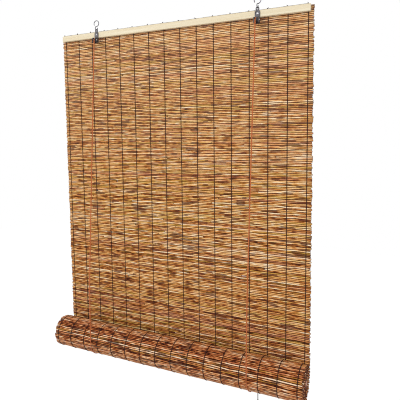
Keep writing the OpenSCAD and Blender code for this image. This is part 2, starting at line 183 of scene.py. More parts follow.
def arcAcross(x, centre, radius, fromDegrees, toDegrees, count):
    # points of an arc in the plane across X
    turns = [math.radians(fromDegrees + (toDegrees - fromDegrees) * i / count) for i in range(count + 1)]
    return [Vector((x, centre[0] + radius * math.cos(t), centre[1] + radius * math.sin(t))) for t in turns]


def smoothLine(points, perSpan):
    # a rounder line through the same points
    line = []
    last = len(points) - 1
    for i in range(last):
        p0, p1, p2, p3 = (points[max(i - 1, 0)], points[i], points[i + 1], points[min(i + 2, last)])
        for j in range(perSpan):
            t = j / perSpan
            line.append(0.5 * (2 * p1 + (p2 - p0) * t + (2 * p0 - 5 * p1 + 4 * p2 - p3) * t ** 2
                               + (3 * p1 - p0 - 3 * p2 + p3) * t ** 3))
    return line + [points[-1].copy()]


# small helpers for materials

def shade(red, green, blue):
    # a colour as the eye reads it, 0 to 255, turned into the values a shader takes
    def straight(c):
        c /= 255
        return c / 12.92 if c <= 0.04045 else ((c + 0.055) / 1.055) ** 2.4
    return (straight(red), straight(green), straight(blue), 1.0)


def startMaterial(name):
    material = bpy.data.materials.new(name)
    material.use_nodes = True
    return material, material.node_tree, material.node_tree.nodes["Principled BSDF"]


def addNode(tree, kind, settings=None, **values):
    node = tree.nodes.new(kind)
    for key, value in (settings or {}).items():
        setattr(node, key, value)
    for key, value in values.items():
        node.inputs[key].default_value = value
    return node


def mathNode(tree, operation, a, b=None, clamp=False):
    node = addNode(tree, "ShaderNodeMath", {"operation": operation, "use_clamp": clamp})
    for socket, value in ((0, a), (1, b)):
        if value is None:
            continue
        if isinstance(value, (int, float)):
            node.inputs[socket].default_value = value
        else:
            tree.links.new(value, node.inputs[socket])
    return node.outputs[0]


def mixColours(tree, factor, a, b, blend="MIX"):
    node = addNode(tree, "ShaderNodeMix", {"data_type": "RGBA", "blend_type": blend})
    for socket, value in ((0, factor), (6, a), (7, b)):  # 6, 7 and output 2 are the node's colour sockets
        if isinstance(value, (int, float, tuple)):
            node.inputs[socket].default_value = value
        else:
            tree.links.new(value, node.inputs[socket])
    return node.outputs[2]


def rampNode(tree, value, stops):
    ramp = addNode(tree, "ShaderNodeValToRGB")
    band = ramp.color_ramp
    while len(band.elements) < len(stops):
        band.elements.new(0.5)
    for element, (position, colour) in zip(band.elements, stops):
        element.position, element.color = position, colour
    tree.links.new(value, ramp.inputs[0])
    return ramp.outputs[0]


def rising(tree, value, start, slope):
    # a mask: 0 up to start, then climbing to 1
    return mathNode(tree, "MULTIPLY", mathNode(tree, "SUBTRACT", value, start), slope, clamp=True)


def falling(tree, value, end, slope):
    # a mask: 1 at first, then dropping to 0 at end
    return mathNode(tree, "MULTIPLY", mathNode(tree, "SUBTRACT", end, value), slope, clamp=True)


def swingOf(tree, noise, amount):
    # noise turned into a change to both sides of zero
    return mathNode(tree, "MULTIPLY", mathNode(tree, "SUBTRACT", noise, 0.5), amount)


def startGroup(name, inputs, outputs):
    group = bpy.data.node_groups.new(name, "ShaderNodeTree")
    for socketName, kind, default in inputs:
        socket = group.interface.new_socket(socketName, in_out="INPUT", socket_type=kind)
        if default is not None:
            socket.default_value = default
    for socketName, kind in outputs:
        group.interface.new_socket(socketName, in_out="OUTPUT", socket_type=kind)
    entry, leave = group.nodes.new("NodeGroupInput"), group.nodes.new("NodeGroupOutput")
    return group, entry.outputs, leave.inputs


def placeGroup(tree, group, **values):
    node = tree.nodes.new("ShaderNodeGroup")
    node.node_tree = group
    for key, value in values.items():
        node.inputs[key].default_value = value
    return node


def objectPoint(tree):
    return addNode(tree, "ShaderNodeTexCoord").outputs["Object"]


def bumpInto(tree, shader, height, strength, distance):
    bump = addNode(tree, "ShaderNodeBump", Strength=strength, Distance=distance)
    tree.links.new(height, bump.inputs["Height"])
    tree.links.new(bump.outputs["Normal"], shader.inputs["Normal"])


def roughInto(tree, shader, value, swing, smoothest):
    rough = mathNode(tree, "MULTIPLY_ADD", value, swing)
    rough.node.inputs[2].default_value = smoothest
    tree.links.new(rough, shader.inputs["Roughness"])


def makeGrainGroup():
    # long fibres: noise drawn out along X
    group, entry, leave = startGroup(
        "longFibres",
        [("Point", "NodeSocketVector", None), ("Along", "NodeSocketFloat", 20.0),
         ("Across", "NodeSocketFloat", 900.0)],
        [("Streak", "NodeSocketFloat")])
    stretch = addNode(group, "ShaderNodeCombineXYZ")
    group.links.new(entry["Along"], stretch.inputs["X"])
    group.links.new(entry["Across"], stretch.inputs["Y"])
    group.links.new(entry["Across"], stretch.inputs["Z"])
    drawn = addNode(group, "ShaderNodeVectorMath", {"operation": "MULTIPLY"})
    group.links.new(entry["Point"], drawn.inputs[0])
    group.links.new(stretch.outputs[0], drawn.inputs[1])
    noise = addNode(group, "ShaderNodeTexNoise", Scale=1.0, Detail=3.0, Roughness=0.6)
    group.links.new(drawn.outputs[0], noise.inputs["Vector"])
    group.links.new(noise.outputs[0], leave["Streak"])
    return group


def makeSpeckGroup():
    # fine even speckle, with smudges about eight times as broad
    smudgeShare = 0.12
    group, entry, leave = startGroup(
        "fineSpeckle",
        [("Point", "NodeSocketVector", None), ("Size", "NodeSocketFloat", 400.0)],
        [("Speckle", "NodeSocketFloat"), ("Smudge", "NodeSocketFloat")])
    fine = addNode(group, "ShaderNodeTexNoise", Detail=4.0, Roughness=0.65)
    group.links.new(entry["Point"], fine.inputs["Vector"])
    group.links.new(entry["Size"], fine.inputs["Scale"])
    broad = addNode(group, "ShaderNodeTexNoise", Detail=2.0)
    group.links.new(entry["Point"], broad.inputs["Vector"])
    broadSize = mathNode(group, "MULTIPLY", entry["Size"], smudgeShare)
    group.links.new(broadSize, broad.inputs["Scale"])
    group.links.new(fine.outputs[0], leave["Speckle"])
    group.links.new(broad.outputs[0], leave["Smudge"])
    return group


longFibres = makeGrainGroup()
fineSpeckle = makeSpeckGroup()


# reeds: every stalk has its own tone, and the tone changes along it
# the valley colour is painted shade: it is multiplied into the sides of each stalk that face the neighbouring
# rows
matReedLook = {
    "tones": [(0.0, shade(78, 32, 8)), (0.2, shade(144, 76, 28)), (0.4, shade(202, 130, 64)),
              (0.58, shade(230, 170, 102)), (0.78, shade(244, 196, 136)), (1.0, shade(252, 224, 184))],
    "sheath": shade(98, 46, 34), "olive": shade(206, 168, 72), "blush": shade(216, 148, 114),
    "patches": 34.0, "patchSwing": 1.75, "sheathRuns": 19.0, "sheathFrom": 0.6, "paintedValleyShade": shade(110, 64, 38),
    "paleTop": shade(222, 186, 152), "paleTopShare": 0.2, "paleTopFrom": -0.55, "paleTopOver": 0.5,
}
# the roll holds the same reeds as the mat; its darker, redder tones are partly the reeds' own tone and partly
# painted shade on the roll
rollReedLook = {
    "tones": [(0.0, shade(62, 22, 4)), (0.2, shade(122, 56, 22)), (0.4, shade(178, 100, 50)),
              (0.58, shade(218, 148, 92)), (0.78, shade(240, 184, 134)), (1.0, shade(250, 218, 184))],
    "sheath": shade(80, 34, 22), "olive": shade(198, 146, 58), "blush": shade(206, 122, 82),
    "patches": 36.0, "patchSwing": 2.05, "sheathRuns": 22.0, "sheathFrom": 0.57, "paintedValleyShade": shade(100, 54, 30),
}
# what both share; each noise is given as an offset and a detail
# grooveUpTo and grooveSlope set how far round each stalk the painted valley shade reaches
reedSurface = {
    "stalksApart": 97.0, "patchNoise": (0.0, 2.0), "sheathNoise": (7.3, 1.0), "hueNoise": (15.1, 1.0),
    "noiseRough": 0.55, "hueRuns": 20.0, "hueSwing": 1.2, "fibreAlong": 30.0, "fibreAcross": 1800.0,
    "fibreSwing": 0.35, "oliveFrom": 0.72, "blushUpTo": 0.3, "hueSlope": 3.0, "sheathSlope": 16.0,
    "shares": {"olive": 0.55, "blush": 0.5, "sheath": 0.75}, "grooveUpTo": 0.86, "grooveSlope": 2.8,
    "roughSwing": 0.3, "smoothest": 0.36, "specular": 0.12, "bump": (0.35, 0.0004),
}


def reedFinish(name, look, surface):
    material, tree, shader = startMaterial(name)
    point = objectPoint(tree)
    split = addNode(tree, "ShaderNodeSeparateXYZ")
    tree.links.new(point, split.inputs[0])
    own = addNode(tree, "ShaderNodeAttribute", {"attribute_name": "stalkTone"})
    ownSplit = addNode(tree, "ShaderNodeSeparateXYZ")
    tree.links.new(own.outputs["Vector"], ownSplit.inputs[0])
    luck, tone, hue = ownSplit.outputs

    def alongStalk(perMetre, layer, detail):
        # noise that runs along a stalk and differs from one stalk to the next
        place = addNode(tree, "ShaderNodeCombineXYZ")
        tree.links.new(mathNode(tree, "MULTIPLY", split.outputs["X"], perMetre), place.inputs["X"])
        tree.links.new(mathNode(tree, "MULTIPLY", luck, surface["stalksApart"]), place.inputs["Y"])
        place.inputs["Z"].default_value = layer
        noise = addNode(tree, "ShaderNodeTexNoise", Scale=1.0, Detail=detail, Roughness=surface["noiseRough"])
        tree.links.new(place.outputs[0], noise.inputs["Vector"])
        return noise.outputs[0]

    patches = alongStalk(look["patches"], *surface["patchNoise"])
    sheathNoise = alongStalk(look["sheathRuns"], *surface["sheathNoise"])
    hueNoise = alongStalk(surface["hueRuns"], *surface["hueNoise"])
    fibres = placeGroup(tree, longFibres, Along=surface["fibreAlong"], Across=surface["fibreAcross"])
    tree.links.new(point, fibres.inputs["Point"])
    level = mathNode(tree, "ADD", tone, swingOf(tree, patches, look["patchSwing"]))
    level = mathNode(tree, "ADD", level, swingOf(tree, fibres.outputs[0], surface["fibreSwing"]), clamp=True)
    colour = rampNode(tree, level, look["tones"])
    hueSum = mathNode(tree, "ADD", hue, swingOf(tree, hueNoise, surface["hueSwing"]))
    masks = {
        "olive": rising(tree, hueSum, surface["oliveFrom"], surface["hueSlope"]),
        "blush": falling(tree, hueSum, surface["blushUpTo"], surface["hueSlope"]),
        "sheath": rising(tree, sheathNoise, look["sheathFrom"], surface["sheathSlope"]),
    }
    for tint, mask in masks.items():
        share = mathNode(tree, "MULTIPLY", mask, surface["shares"][tint])
        colour = mixColours(tree, share, colour, look[tint])
    if "paleTop" in look:  # paler towards the top
        height = mathNode(tree, "SUBTRACT", split.outputs["Z"], look["paleTopFrom"])
        height = mathNode(tree, "DIVIDE", height, look["paleTopOver"], clamp=True)
        share = mathNode(tree, "MULTIPLY", height, look["paleTopShare"])
        colour = mixColours(tree, share, colour, look["paleTop"])
    # painted shade in the valleys between rows: stalk sides that face the neighbouring rows are multiplied
    # darker
    facing = addNode(tree, "ShaderNodeAttribute", {"attribute_name": "stalkFace"})
    grooveShadeMask = falling(tree, facing.outputs["Fac"], surface["grooveUpTo"], surface["grooveSlope"])
    colour = mixColours(tree, grooveShadeMask, colour, mixColours(tree, 1.0, colour, look["paintedValleyShade"], "MULTIPLY"))
    tree.links.new(colour, shader.inputs["Base Color"])
    roughInto(tree, shader, fibres.outputs[0], surface["roughSwing"], surface["smoothest"])
    shader.inputs["Specular IOR Level"].default_value = surface["specular"]
    bumpInto(tree, shader, fibres.outputs[0], *surface["bump"])
    return material


# the hollow colour is painted shade of the reeds' hollow insides, speckled over the cut ends with the pith
# colour
reedEndLook = {
    "pith": shade(128, 72, 44), "hollow": shade(34, 14, 8), "size": 900.0, "rough": 0.8,
    "bump": (0.3, 0.0003),
}


def reedEndFinish(look):
    material, tree, shader = startMaterial("cutReedEnd")
    speck = placeGroup(tree, fineSpeckle, Size=look["size"])
    tree.links.new(objectPoint(tree), speck.inputs["Point"])
    # painted shade: the near-black hollow colour is speckled with the pith colour over every cut end
    colour = mixColours(tree, speck.outputs["Speckle"], look["hollow"], look["pith"])
    tree.links.new(colour, shader.inputs["Base Color"])
    shader.inputs["Roughness"].default_value = look["rough"]
    bumpInto(tree, shader, speck.outputs["Speckle"], *look["bump"])
    return material


woodLooks = {
    "pine": {"light": shade(232, 222, 196), "dark": shade(216, 198, 162), "rough": 0.55,
             "along": 6.0, "across": 420.0},
    "stainedWood": {"light": shade(190, 112, 74), "dark": shade(136, 70, 42), "rough": 0.5,
                    "along": 9.0, "across": 520.0},
    "turnedWood": {"light": shade(150, 92, 58), "dark": shade(98, 54, 32), "rough": 0.4,
                   "along": 60.0, "across": 420.0},
}
# the broad figure's scales are shares of the grain's
woodFigure = {"along": 0.25, "across": 0.2, "lightFrom": 0.34, "slope": 3.0, "bump": (0.25, 0.0004)}


def woodFinish(name, look):
    material, tree, shader = startMaterial(name)
    grain = placeGroup(tree, longFibres, Along=look["along"], Across=look["across"])
    figure = placeGroup(tree, longFibres, Along=woodFigure["along"] * look["along"],
                        Across=woodFigure["across"] * look["across"])
    point = objectPoint(tree)
    for group in (grain, figure):
        tree.links.new(point, group.inputs["Point"])
    blendOf = mathNode(tree, "MULTIPLY", mathNode(tree, "ADD", grain.outputs[0], figure.outputs[0]), 0.5)
    contrast = rising(tree, blendOf, woodFigure["lightFrom"], woodFigure["slope"])
    tree.links.new(mixColours(tree, contrast, look["dark"], look["light"]), shader.inputs["Base Color"])
    shader.inputs["Roughness"].default_value = look["rough"]
    bumpInto(tree, shader, grain.outputs[0], *woodFigure["bump"])
    return material


metalLooks = {
    "gunmetal": {"light": shade(98, 96, 100), "dark": shade(54, 52, 56),
                 "metal": 0.45, "smoothest": 0.35, "size": 700.0},
    "steel": {"light": shade(214, 214, 214), "dark": shade(150, 150, 152),
              "metal": 1.0, "smoothest": 0.18, "size": 900.0},
    "wire": {"light": shade(112, 112, 118), "dark": shade(70, 70, 74),
             "metal": 1.0, "smoothest": 0.24, "size": 800.0},
    "darkWheel": {"light": shade(58, 54, 54), "dark": shade(30, 28, 28),
                  "metal": 0.2, "smoothest": 0.4, "size": 700.0},
}
metalWear = {"lightFrom": 0.3, "slope": 2.4, "roughSwing": 0.25, "bump": (0.08, 0.0002)}


def metalFinish(name, look):
    material, tree, shader = startMaterial(name)
    speck = placeGroup(tree, fineSpeckle, Size=look["size"])
    tree.links.new(objectPoint(tree), speck.inputs["Point"])
    worn = rising(tree, speck.outputs["Smudge"], metalWear["lightFrom"], metalWear["slope"])
    tree.links.new(mixColours(tree, worn, look["dark"], look["light"]), shader.inputs["Base Color"])
    shader.inputs["Metallic"].default_value = look["metal"]
    roughInto(tree, shader, speck.outputs["Speckle"], metalWear["roughSwing"], look["smoothest"])
    bumpInto(tree, shader, speck.outputs["Speckle"], *metalWear["bump"])
    return material


# each cord's groove colour is painted shade: it is laid where plyCrest is low, in the grooves between the
# plies, and on warp threads where they dip between stalks
cordLooks = {
    "liftCord": {"crest": shade(210, 118, 64), "groove": shade(150, 74, 36), "rough": 0.7, "sheen": 0.1},
    "pullCord": {"crest": shade(58, 52, 60), "groove": shade(24, 20, 24), "rough": 0.75, "sheen": 0.2},
    "warpThread": {"crest": shade(62, 32, 24), "groove": shade(32, 14, 10), "rough": 0.85, "sheen": 0.0},
}
cordFuzz = {"size": 1600.0, "swing": 0.9, "specular": 0.25, "bump": (0.4, 0.0003)}


def cordFinish(name, look):
    material, tree, shader = startMaterial(name)
    ply = addNode(tree, "ShaderNodeAttribute", {"attribute_name": "plyCrest"})
    speck = placeGroup(tree, fineSpeckle, Size=cordFuzz["size"])
    tree.links.new(objectPoint(tree), speck.inputs["Point"])
    fuzz = swingOf(tree, speck.outputs["Speckle"], cordFuzz["swing"])
    level = mathNode(tree, "ADD", ply.outputs["Fac"], fuzz, clamp=True)
    # painted shade: where plyCrest is low, in the grooves, the colour turns to the groove colour
    tree.links.new(mixColours(tree, level, look["groove"], look["crest"]), shader.inputs["Base Color"])
    shader.inputs["Roughness"].default_value = look["rough"]
    shader.inputs["Sheen Weight"].default_value = look["sheen"]
    shader.inputs["Specular IOR Level"].default_value = cordFuzz["specular"]
    bumpInto(tree, shader, speck.outputs["Speckle"], *cordFuzz["bump"])
    return material


matReed = reedFinish("matReed", matReedLook, reedSurface)
rollReed = reedFinish("rollReed", rollReedLook, reedSurface)
reedEnd = reedEndFinish(reedEndLook)
pine, stainedWood, turnedWood = (woodFinish(name, look) for name, look in woodLooks.items())
gunmetal, steel, wire, darkWheel = (metalFinish(name, look) for name, look in metalLooks.items())
liftCord, pullCordFibre, warpThread = (cordFinish(name, look) for name, look in cordLooks.items())
print("materials made")


# cords: twisted plies laid along a line
liftRope = {"radius": 0.0014, "plies": 2, "lay": 0.012, "depth": 0.2, "sides": 10, "step": 0.0016}
frontRope = {"radius": 0.0021, "plies": 2, "lay": 0.015, "depth": 0.15, "sides": 10, "step": 0.002}
pullRope = {"radius": 0.0015, "plies": 3, "lay": 0.014, "depth": 0.12, "sides": 12, "step": 0.0017}


def layRope(bm, line, rope):
    layer = vertexLayer(bm.verts.layers.float, "plyCrest")
    lengths = [0.0]
    for a, b in zip(line, line[1:]):
        lengths.append(lengths[-1] + (b - a).length)

    def crest(k, angle):
        twist = 2 * math.pi * lengths[k] / rope["lay"]
        return 0.5 + 0.5 * math.cos(rope["plies"] * (angle - twist))

    def section(k, angle):
        swell = rope["radius"] * (1 - 2 * rope["depth"] * (1 - crest(k, angle)))
        return swell * math.cos(angle), swell * math.sin(angle)

    # plyCrest is 1 on a ply's crest and 0 in the groove between plies, where the cord finish paints shade
    for v, k, angle in layTube(bm, line, rope["sides"], section):
        v[layer] = crest(k, angle)


def ropePiece(name, points, rope, finish):
    bm = bmesh.new()
    layRope(bm, spaced(points, rope["step"]), rope)
    return newPiece(name, bm, finish)


# the pull cord's route, in millimetres as in the part's source
pullLine = [Vector(p) / 1000 for p in (
    (286, 25, -88), (286, 27.5, -166), (286, 30, -244), (286, 32.5, -322),
    (286, 35, -400), (286, 37.5, -478), (286, 40, -556), (286, 42.5, -634),
    (286, 45, -712), (286, 47.5, -790), (286, 50, -868), (286, 52.5, -946),
    (286, 55, -1024), (286, 57.5, -1102), (286, 60, -1180), (286, 62.5, -1258))]
pullCord = fit(ropePiece("pullCord", pullLine, pullRope, pullCordFibre), "pull", "pull_cord", "pull_cord")

knotShape = {"steps": 72, "lobes": 3, "around": 2}
pullKnotWindings = [  # centre, width, height and lean
    ((0.286, 0.025, -0.0824), 0.0092, 0.0112, 0.0), ((0.286, 0.025, -0.0822), 0.0074, 0.0066, 1.2),
]


def layKnot(bm, centre, width, height, rope, lean):
    # a cord drawn into a trefoil and pressed to the knot's size
    ring = []
    for i in range(knotShape["steps"] + 1):
        t = 2 * math.pi * i / knotShape["steps"]
        around, lobe = knotShape["around"] * t, knotShape["lobes"] * t
        reach = 2 + math.cos(lobe)
        ring.append(Vector((reach * math.cos(around) / 3, reach * math.sin(around) / 3, math.sin(lobe))))
    flat = width / 2 - rope["radius"]
    tall = height / 2 - rope["radius"]
    turn = Matrix.Rotation(lean, 3, "X")
    layRope(bm, [Vector(centre) + turn @ Vector((p.x * flat, p.y * flat, p.z * tall)) for p in ring], rope)


bm = bmesh.new()
for centre, width, height, lean in pullKnotWindings:
    layKnot(bm, centre, width, height, pullRope, lean)
pullKnot = fit(newPiece("pullKnot", bm, pullCordFibre), "pull", "pull_cord", "pull_knot")


# mat: separate stalks in rows, each bending its own way between the warp threads
reedMat = {
    "radius": (0.0025, 0.0029), "bayWave": 0.0008, "warpWave": 0.00035, "depthWave": 0.0003,
    "endSpread": 0.0035, "sides": 6, "breaks": (0, 0, 1, 1, 2), "breakGap": 0.0016, "taper": 0.12, "seed": 11,
    "tone": 0.59, "toneSpread": 0.15, "toneRange": (0.1, 0.95),
    "lowFrom": 0.55, "lowOver": 0.45, "lowDarker": 0.07, "lowSpread": 0.12,
    "hollow": 0.0005, "hollowDepth": 0.003,
    "backRadius": 0.0021, "backDepth": 0.0013, "backShadeTone": 0.12, "backInset": 0.002, "backSpread": 0.004,
}
# for the stalks of mat and roll alike
stalkCut = {"overhang": 0.001, "breakMargin": 0.1, "shortest": 0.02, "kinkRoom": 0.003, "pitTaper": 0.0001}
kinkStep = warpStep / 2
kinkPlaces = [warpPlaces[0] + (i - 1) * kinkStep for i in range(2 * blind["warpCount"] + 1)]


def makeRow(settings, rng):
    # how far a row lies above its place and behind it, at each warp thread and midway between two
    def stray(spread):
        return max(-2 * spread, min(2 * spread, rng.gauss(0, spread)))
    return {"radius": rng.uniform(*settings["radius"]),
            "up": [stray(settings["warpWave" if i % 2 else "bayWave"]) for i in range(len(kinkPlaces))],
            "back": [stray(settings["depthWave"]) for _ in kinkPlaces]}


def rowShift(row, x):
    at = max(0.0, min(len(kinkPlaces) - 1.001, (x - kinkPlaces[0]) / kinkStep))  # short of the last kink
    k, t = int(at), at % 1
    return [row[way][k] * (1 - t) + row[way][k + 1] * t for way in ("up", "back")]


def rowStalks(settings, rng):
    # where the stalks of one row begin and end
    half, spread = blind["width"] / 2, settings["endSpread"]
    leftEnd = -half + rng.uniform(0, spread) - stalkCut["overhang"]
    rightEnd = half - rng.uniform(0, spread) + stalkCut["overhang"]
    reach = half - stalkCut["breakMargin"]
    cuts = sorted(rng.uniform(-reach, reach) for _ in range(rng.choice(settings["breaks"])))
    edges = [leftEnd] + [c + side * settings["breakGap"] / 2 for c in cuts for side in (-1, 1)] + [rightEnd]
    return [(edges[i], edges[i + 1]) for i in range(0, len(edges), 2)
            if edges[i + 1] - edges[i] > stalkCut["shortest"]]


def drawTone(settings, rng, middle, spread):
    darkest, palest = settings["toneRange"]
    return min(palest, max(darkest, rng.gauss(middle, spread)))


def layStalk(bm, span, seat, outward, settings, row, rng, tone, stiff=False):
    # seat is the row's place in (y, z), outward the direction that counts as the stalk's own back
    toneLayer = vertexLayer(bm.verts.layers.float_vector, "stalkTone")
    faceLayer = vertexLayer(bm.verts.layers.float, "stalkFace")
    room = stalkCut["kinkRoom"]
    stops = [] if stiff else [x for x in kinkPlaces if span[0] + room < x < span[1] - room]
    places = [span[0]] + stops + [span[1]]
    along = Vector((-outward[1], outward[0]))
    line = []
    for x in places:
        up, back = (0, 0) if stiff or row.get("still") else rowShift(row, x)
        y = seat[0] + along.x * up + outward[0] * back
        z = seat[1] + along.y * up + outward[1] * back
        line.append(Vector((x, y, z)))
    lean = rng.choice((-1, 1)) * settings["taper"]

    def section(k, angle):
        r = row["radius"] * (1 + lean * (k / (len(line) - 1) - 0.5))
        return r * math.cos(angle), r * math.sin(angle)

    mark = Vector((rng.random(), tone, rng.random()))
    # stalkFace is 1 on the sides facing the mat's faces and 0 on the sides facing the next rows, where the
    # reed finish paints valley shade
    for v, k, angle in layTube(bm, line, settings["sides"], section, Vector((0, *outward))):
        v[toneLayer] = mark
        v[faceLayer] = abs(math.cos(angle))


def hollowEnds(bm, settings):
    # cut stalks are tubes: each end is inset, and its middle pushed in
    caps = [f for f in bm.faces if len(f.verts) == settings["sides"]]
    for f in caps:
        f.material_index = 1
    inner = bmesh.ops.inset_individual(bm, faces=caps, thickness=settings["hollow"], use_even_offset=True)
    for f in inner["faces"]:
        f.material_index = 1
    bmesh.ops.inset_individual(bm, faces=caps, thickness=stalkCut["pitTaper"], depth=-settings["hollowDepth"])


def matSeat(distance):
    # a place on the mat's middle, measured from the headrail's top edge
    head = blind["battenTop"] - blind["battenBottom"]
    if distance < head:
        return Vector((blind["matY"], blind["battenTop"] - distance))
    return Vector((blind["matY"], blind["battenBottom"])) + (distance - head) * Vector(
        (math.sin(blind["lean"]), -math.cos(blind["lean"])))


rng = random.Random(reedMat["seed"])
matRows = [makeRow(reedMat, rng) for _ in range(blind["matRows"])]
headMesh, dropMesh, backMesh = bmesh.new(), bmesh.new(), bmesh.new()
for i, row in enumerate(matRows):
    inHead = i < blind["headRows"]
    row["seat"] = matSeat(blind["firstReed"] + i * blind["reedPitch"])
    row["still"] = inHead
    low = max(0.0, i / blind["matRows"] - reedMat["lowFrom"]) / reedMat["lowOver"]
    for span in rowStalks(reedMat, rng):
        middle = reedMat["tone"] - low * reedMat["lowDarker"]
        tone = drawTone(reedMat, rng, middle, reedMat["toneSpread"] + low * reedMat["lowSpread"])
        layStalk(headMesh if inHead else dropMesh, span, row["seat"], (1, 0), reedMat, row, rng, tone)
    if not inHead and i + 1 < blind["matRows"]:
        # a plain stalk behind each gap; its dark tone paints the shade seen through the gap
        between = matSeat(blind["firstReed"] + (i + 0.5) * blind["reedPitch"])
        between += Vector((reedMat["backDepth"], 0))
        inset = reedMat["backInset"] + rng.uniform(0, reedMat["backSpread"])
        layStalk(backMesh, (inset - blind["width"] / 2, blind["width"] / 2 - inset), between, (1, 0), reedMat,
                 {"radius": reedMat["backRadius"]}, rng, reedMat["backShadeTone"], True)
for mesh in (headMesh, dropMesh, backMesh):
    hollowEnds(mesh, reedMat)
fit(newPiece("matHead", headMesh, matReed, reedEnd), "headrail", "reed", "reed_mat")
matDrop = fit(newPiece("matDrop", dropMesh, matReed, reedEnd), "headrail", "reed", "reed_mat")
matBack = fit(newPiece("matBack", backMesh, matReed, reedEnd), "headrail", "reed", "reed_mat")


def followLift(piece):
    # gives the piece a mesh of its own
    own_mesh(piece)


for piece in (matDrop, matBack):
    followLift(piece)
print("mat laid", len(matDrop.data.polygons))


# roll: an outer turn that stays where the mat joins it, and rings of stalks that wind inside it
reedRoll = {
    "radius": (0.0025, 0.0029), "bayWave": 0.0008, "warpWave": 0.00035, "depthWave": 0.0003,
    "endSpread": 0.004, "sides": 6, "breaks": (0, 0, 0, 1, 1), "breakGap": 0.0016, "taper": 0.1, "seed": 23,
    "tone": 0.56, "toneSpread": 0.21, "toneRange": (0.08, 0.95), "hollow": 0.0005, "hollowDepth": 0.003,
    "outerTurn": math.radians(372), "ringDepth": 0.9,
}


def spiralTurn(distance):
    inside = blind["rollRadius"] ** 2 - blind["turnPitch"] * distance / math.pi
    return 2 * math.pi / blind["turnPitch"] * (blind["rollRadius"] - math.sqrt(inside))


def spiralSeat(turn, lift=0.0):
    reach = blind["rollRadius"] - blind["turnPitch"] * turn / (2 * math.pi) + lift
    at = blind["lean"] - turn
    outward = Vector((math.cos(at), math.sin(at)))
    return Vector(blind["rollAxis"]) + reach * outward, outward


def ringSeat(turn):
    # each ring of the spiral is levelled, so that it clears the outer turn however far it has wound
    ring = (turn - reedRoll["outerTurn"]) / (2 * math.pi)
    return spiralSeat(turn, blind["turnPitch"] * (ring % 1 - reedRoll["ringDepth"]))


rng = random.Random(reedRoll["seed"])
rollRows = [makeRow(reedRoll, rng) for _ in range(blind["rollRows"])]
innerMesh, outerMesh = bmesh.new(), bmesh.new()
for i, row in enumerate(rollRows):
    row["turn"] = spiralTurn(blind["rollStart"] + i * blind["reedPitch"])
    outer = row["turn"] < reedRoll["outerTurn"]
    mesh = outerMesh if outer else innerMesh
    row["seat"], row["out"] = spiralSeat(row["turn"]) if outer else ringSeat(row["turn"])
    spans = rowStalks(reedRoll, rng)
    if not outer:
        spans = [(spans[0][0], spans[-1][1])]
    for span in spans:
        tone = drawTone(reedRoll, rng, reedRoll["tone"], reedRoll["toneSpread"])
        layStalk(mesh, span, row["seat"], row["out"], reedRoll, row, rng, tone, not outer)
for name, mesh, body in (("rollOuterTurn", outerMesh, "sling"), ("rollReeds", innerMesh, "roll")):
    hollowEnds(mesh, reedRoll)
    piece = fit(newPiece(name, mesh, rollReed, reedEnd), body, "reed", "reed_roll")
    print(name, "laid", len(piece.data.polygons))


# warp threads: over each stalk and into the groove between two
warpRope = {
    "radius": 0.0014, "sides": 6, "flat": 0.5, "lift": 0.0003, "groove": {-1: 0.62, 1: 1.0}, "sway": 0.0003,
    "frontStop": 0.018, "rearStop": 0.0052, "rollFirst": math.radians(2), "rollLast": math.radians(335),
    "crestShade": 1.0, "grooveShade": 0.25,
}


def layWarp(bm, x, rows, side):
    # side -1 is the front of the mat, 1 its back or the outside of the roll
    crestPoints, line = [], []
    for row in rows:
        up, back = (0, 0) if row.get("still") else rowShift(row, x)
        outward = row.get("out", Vector((1, 0)))
        along = Vector((-outward[1], outward[0]))
        middle = row["seat"] + along * up + outward * back
        crestPoints.append((middle, outward * side, row["radius"]))
    for i, (middle, outward, radius) in enumerate(crestPoints):
        p = middle + outward * (radius + warpRope["lift"])
        line.append(Vector((x, p.x, p.y)))
        if i + 1 < len(crestPoints):
            after = crestPoints[i + 1]
            p = (middle + after[0]) / 2 + (outward + after[1]) / 2 * warpRope["groove"][side] * radius
            line.append(Vector((x + (warpRope["sway"] if i % 2 else -warpRope["sway"]), p.x, p.y)))
    layer = vertexLayer(bm.verts.layers.float, "plyCrest")

    def section(k, angle):
        return warpRope["radius"] * math.cos(angle), warpRope["flat"] * warpRope["radius"] * math.sin(angle)

    for v, k, angle in layTube(bm, line, warpRope["sides"], section, Vector((1, 0, 0))):
        v[layer] = warpRope["grooveShade" if k % 2 else "crestShade"]


def warpPiece(name, rows, side, body, *stoodFor):
    bm = bmesh.new()
    for x in warpPlaces:
        layWarp(bm, x, rows, side)
    return fit(newPiece(name, bm, warpThread), body, "warp_thread", *stoodFor)


matLength = blind["battenTop"] - blind["battenBottom"] + blind["straight"]


def rowsAbove(stop):
    return [row for i, row in enumerate(matRows)
            if blind["firstReed"] + i * blind["reedPitch"] < matLength - stop]


head = blind["headRows"]
warpPiece("frontWarpHead", matRows[:head + 1], -1, "headrail", "front_warp_threads")
warpPiece("rearWarpHead", matRows[:head + 1], 1, "headrail", "rear_warp_threads")
frontRows, rearRows = (rowsAbove(warpRope[stop])[head:] for stop in ("frontStop", "rearStop"))
frontWarps = warpPiece("frontWarps", frontRows, -1, "headrail", "front_warp_threads")
rearWarps = warpPiece("rearWarps", rearRows, 1, "headrail", "rear_warp_threads")
for piece in (frontWarps, rearWarps):
    followLift(piece)
outerRows = [row for row in rollRows if warpRope["rollFirst"] < row["turn"] < warpRope["rollLast"]]
warpPiece("rollWarps", outerRows, 1, "sling", "roll_warp_threads")
print("warp threads laid")


